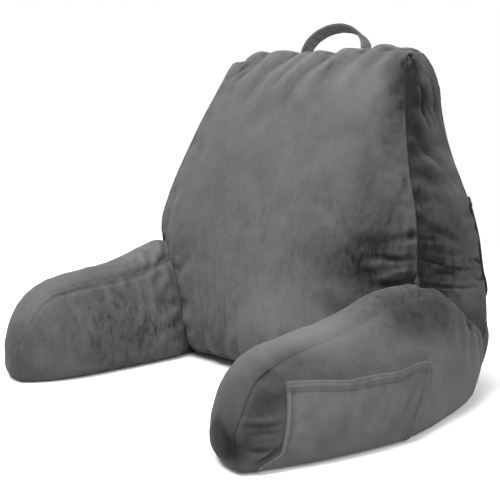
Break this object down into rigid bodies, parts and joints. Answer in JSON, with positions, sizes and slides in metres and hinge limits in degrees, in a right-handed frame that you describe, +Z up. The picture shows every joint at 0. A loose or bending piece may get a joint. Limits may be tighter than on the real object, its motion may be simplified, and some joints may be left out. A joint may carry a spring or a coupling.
{
  "type": "reading pillow with arms",
  "caption": "Filled reading pillow: a crowned backrest with an arm on each side, a pocket outside each arm, a net pocket behind and a strap handle on top.",
  "frame": {"origin": "on the floor, at the middle of the whole pillow's width and depth", "axes": "+X to the right seen from the front, +Y towards the back panel, +Z up"},
  "size_m": [0.6343, 0.4736, 0.5003],
  "materials": {
    "velvet": "dark grey crushed velvet, matt with a soft sheen",
    "black_net": "matt black knitted net"
  },
  "bodies": {
    "root": {"backrest": "velvet", "arm_left": "velvet", "arm_right": "velvet", "arm_pocket_left": "velvet", "arm_pocket_right": "velvet", "handle": "velvet", "back_pocket": "black_net"}
  },
  "joints": []
}
